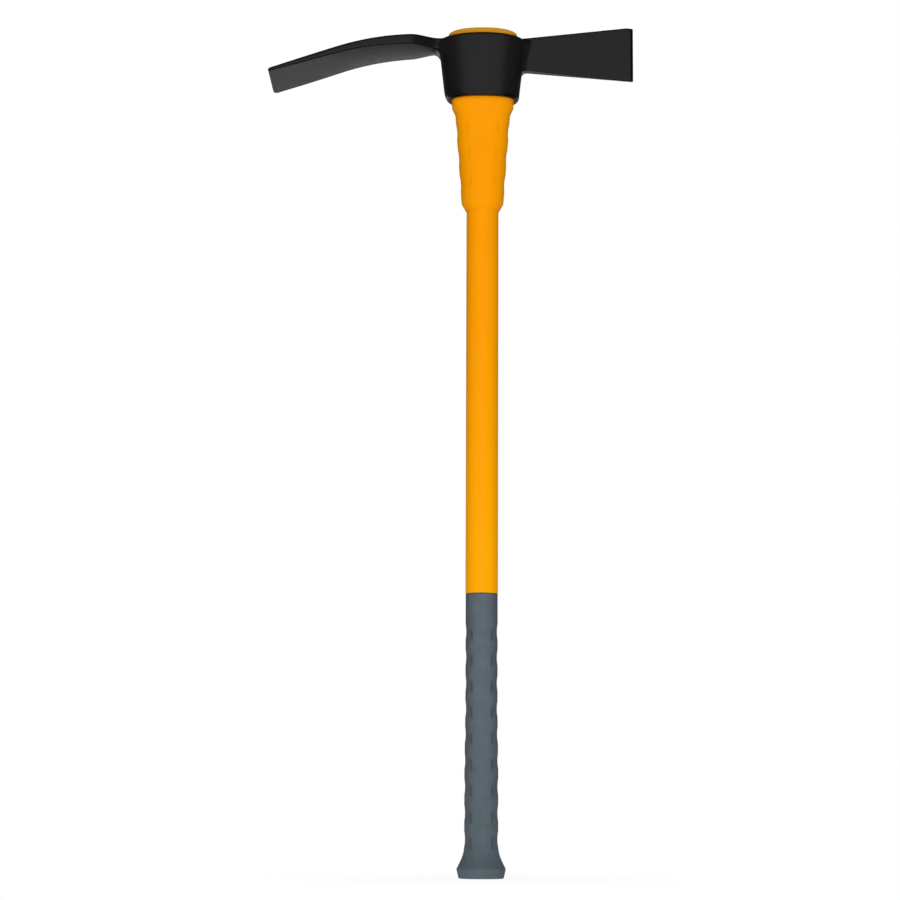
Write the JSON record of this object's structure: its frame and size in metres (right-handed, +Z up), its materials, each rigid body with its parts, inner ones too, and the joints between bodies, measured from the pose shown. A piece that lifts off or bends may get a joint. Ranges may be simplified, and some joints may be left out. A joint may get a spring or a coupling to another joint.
{
  "type": "cutter mattock",
  "caption": "Cutter mattock with a forged adze and upright cutter head, seated by its tapered oval eye on a jacketed fibreglass handle with a rubber grip.",
  "frame": {"origin": "centre of the butt's flat base, on the handle's axis", "axes": "+Z up the handle to the head, +X along the head to the cutter's edge, +Y away from the picture's viewer"},
  "size_m": [0.3954, 0.093, 0.9178],
  "materials": {
    "head_enamel": "black enamel on forged steel",
    "sleeve_plastic": "moulded, satin",
    "epoxy": "cast",
    "fibreglass": "pultruded, ground",
    "jacket_plastic": "extruded, satin",
    "grip_rubber": "moulded, matt"
  },
  "bodies": {
    "root": {"mattock_head": "head_enamel", "eye_sleeve": "sleeve_plastic", "core_bond": "epoxy", "fibreglass_core": "fibreglass", "shaft_jacket": "jacket_plastic", "grip": "grip_rubber"}
  },
  "joints": []
}
